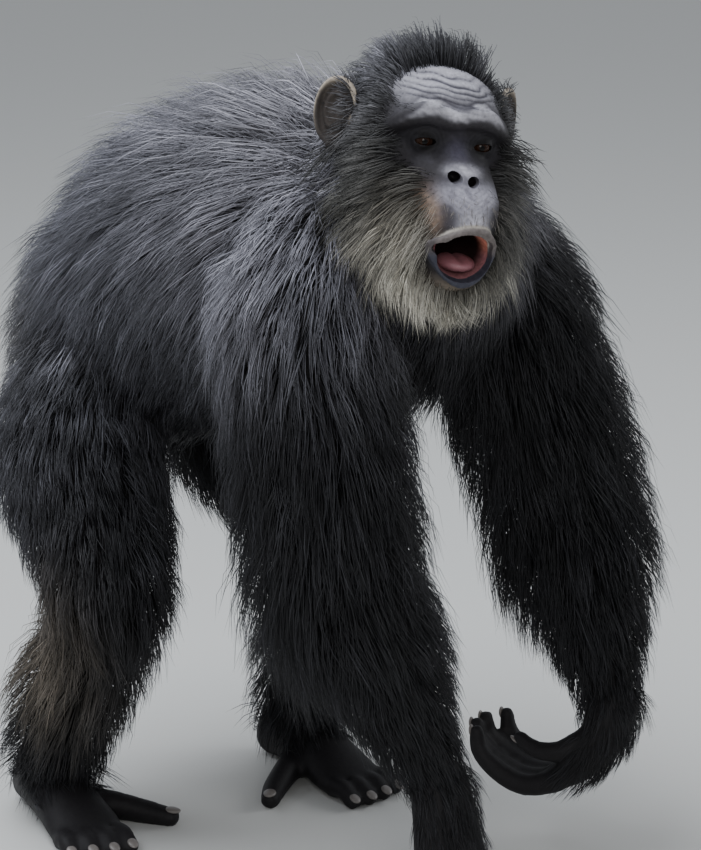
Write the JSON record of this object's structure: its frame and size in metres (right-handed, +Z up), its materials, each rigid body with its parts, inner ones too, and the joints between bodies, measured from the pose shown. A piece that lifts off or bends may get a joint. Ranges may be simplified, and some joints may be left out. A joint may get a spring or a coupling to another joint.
{
  "type": "chimpanzee",
  "caption": "Life-size chimpanzee in mid-stride on both feet and the knuckles of the right hand, left hand lifted, mouth open in a hoot, with a long shaggy coat; still display model",
  "frame": {"origin": "on the floor, under the middle of the animal's outline seen from above", "axes": "+Z up, -Y the way the animal walks and its face points, +X its left side"},
  "size_m": [0.5885, 0.8425, 0.972],
  "materials": {
    "coat": "long black hair in shaggy locks, greying to blue-grey on the back and shoulders, with a soft sheen",
    "face_skin": "bare grey skin with fine wrinkles, slightly oily",
    "limb_skin": "near-black creased skin of hands and feet, with greyer nails",
    "mouth": "moist mauve-pink lining and tongue",
    "eye": "wet, dark brown"
  },
  "bodies": {
    "root": {"head": "face_skin", "eye_right": "eye", "eye_left": "eye", "ear_right": "face_skin", "ear_left": "face_skin", "tongue": "mouth", "neck": "coat", "chest": "coat", "hindquarters": "coat", "upper_arm_right": "coat", "forearm_right": "coat", "hand_right": "limb_skin", "thigh_right": "coat", "shin_right": "coat", "foot_right": "limb_skin", "upper_arm_left": "coat", "forearm_left": "coat", "hand_left": "limb_skin", "thigh_left": "coat", "shin_left": "coat", "foot_left": "limb_skin"}
  },
  "joints": []
}
